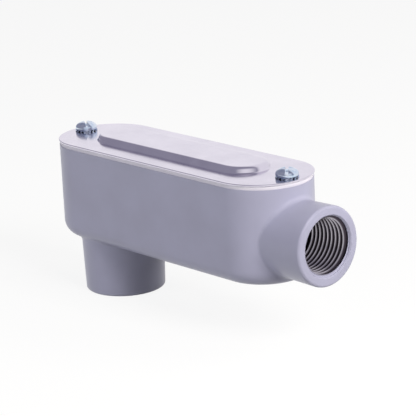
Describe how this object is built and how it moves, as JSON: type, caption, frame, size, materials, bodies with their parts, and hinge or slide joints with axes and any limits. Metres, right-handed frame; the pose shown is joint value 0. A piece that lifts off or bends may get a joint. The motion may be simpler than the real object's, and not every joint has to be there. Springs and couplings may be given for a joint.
{
  "type": "conduit body",
  "caption": "Grey painted round-ended hollow casting with a threaded hub on one end and another on its back, closed by a screwed-on stamped cover with a raised panel.",
  "frame": {"origin": "centre of the back hub's mouth, in the plane of its face", "axes": "+Z from the back hub's mouth up to the cover, +X along the casting towards the end hub, +Y completes the right-handed frame"},
  "size_m": [0.1304, 0.036, 0.0598],
  "materials": {
    "casting_paint": "satin",
    "cover_sheet": "satin",
    "gasket_foam": "matte",
    "zinc_plated_steel": "gloss"
  },
  "bodies": {
    "casting": {"conduit_body_casting": "casting_paint", "gasket": "gasket_foam", "cover_plate": "cover_sheet"},
    "hub_end_washer": {"lock_washer_hub_end": "zinc_plated_steel"},
    "hub_end_screw": {"cover_screw_hub_end": "zinc_plated_steel"},
    "closed_end_washer": {"lock_washer_closed_end": "zinc_plated_steel"},
    "closed_end_screw": {"cover_screw_closed_end": "zinc_plated_steel"}
  },
  "joints": [
    {"name": "hub_end_screw_rise", "type": "slide", "parent": "casting", "child": "hub_end_washer", "axis": [0, 0, 1], "range_m": [0, 0.00714]},
    {"name": "hub_end_screw_turn", "type": "hinge", "parent": "hub_end_washer", "child": "hub_end_screw", "pos_m": [0.0885, 0, 0.0569], "axis": [0, 0, 1], "range_deg": [0, 3240]},
    {"name": "closed_end_screw_rise", "type": "slide", "parent": "casting", "child": "closed_end_washer", "axis": [0, 0, 1], "range_m": [0, 0.00714]},
    {"name": "closed_end_screw_turn", "type": "hinge", "parent": "closed_end_washer", "child": "closed_end_screw", "pos_m": [-0.0179, 0, 0.0569], "axis": [0, 0, 1], "range_deg": [0, 3240]}
  ],
  "couplings": [
    {"joint": "hub_end_screw_turn", "follows": "hub_end_screw_rise", "rad_per_m": 7915.8},
    {"joint": "closed_end_screw_turn", "follows": "closed_end_screw_rise", "rad_per_m": 7915.8}
  ]
}
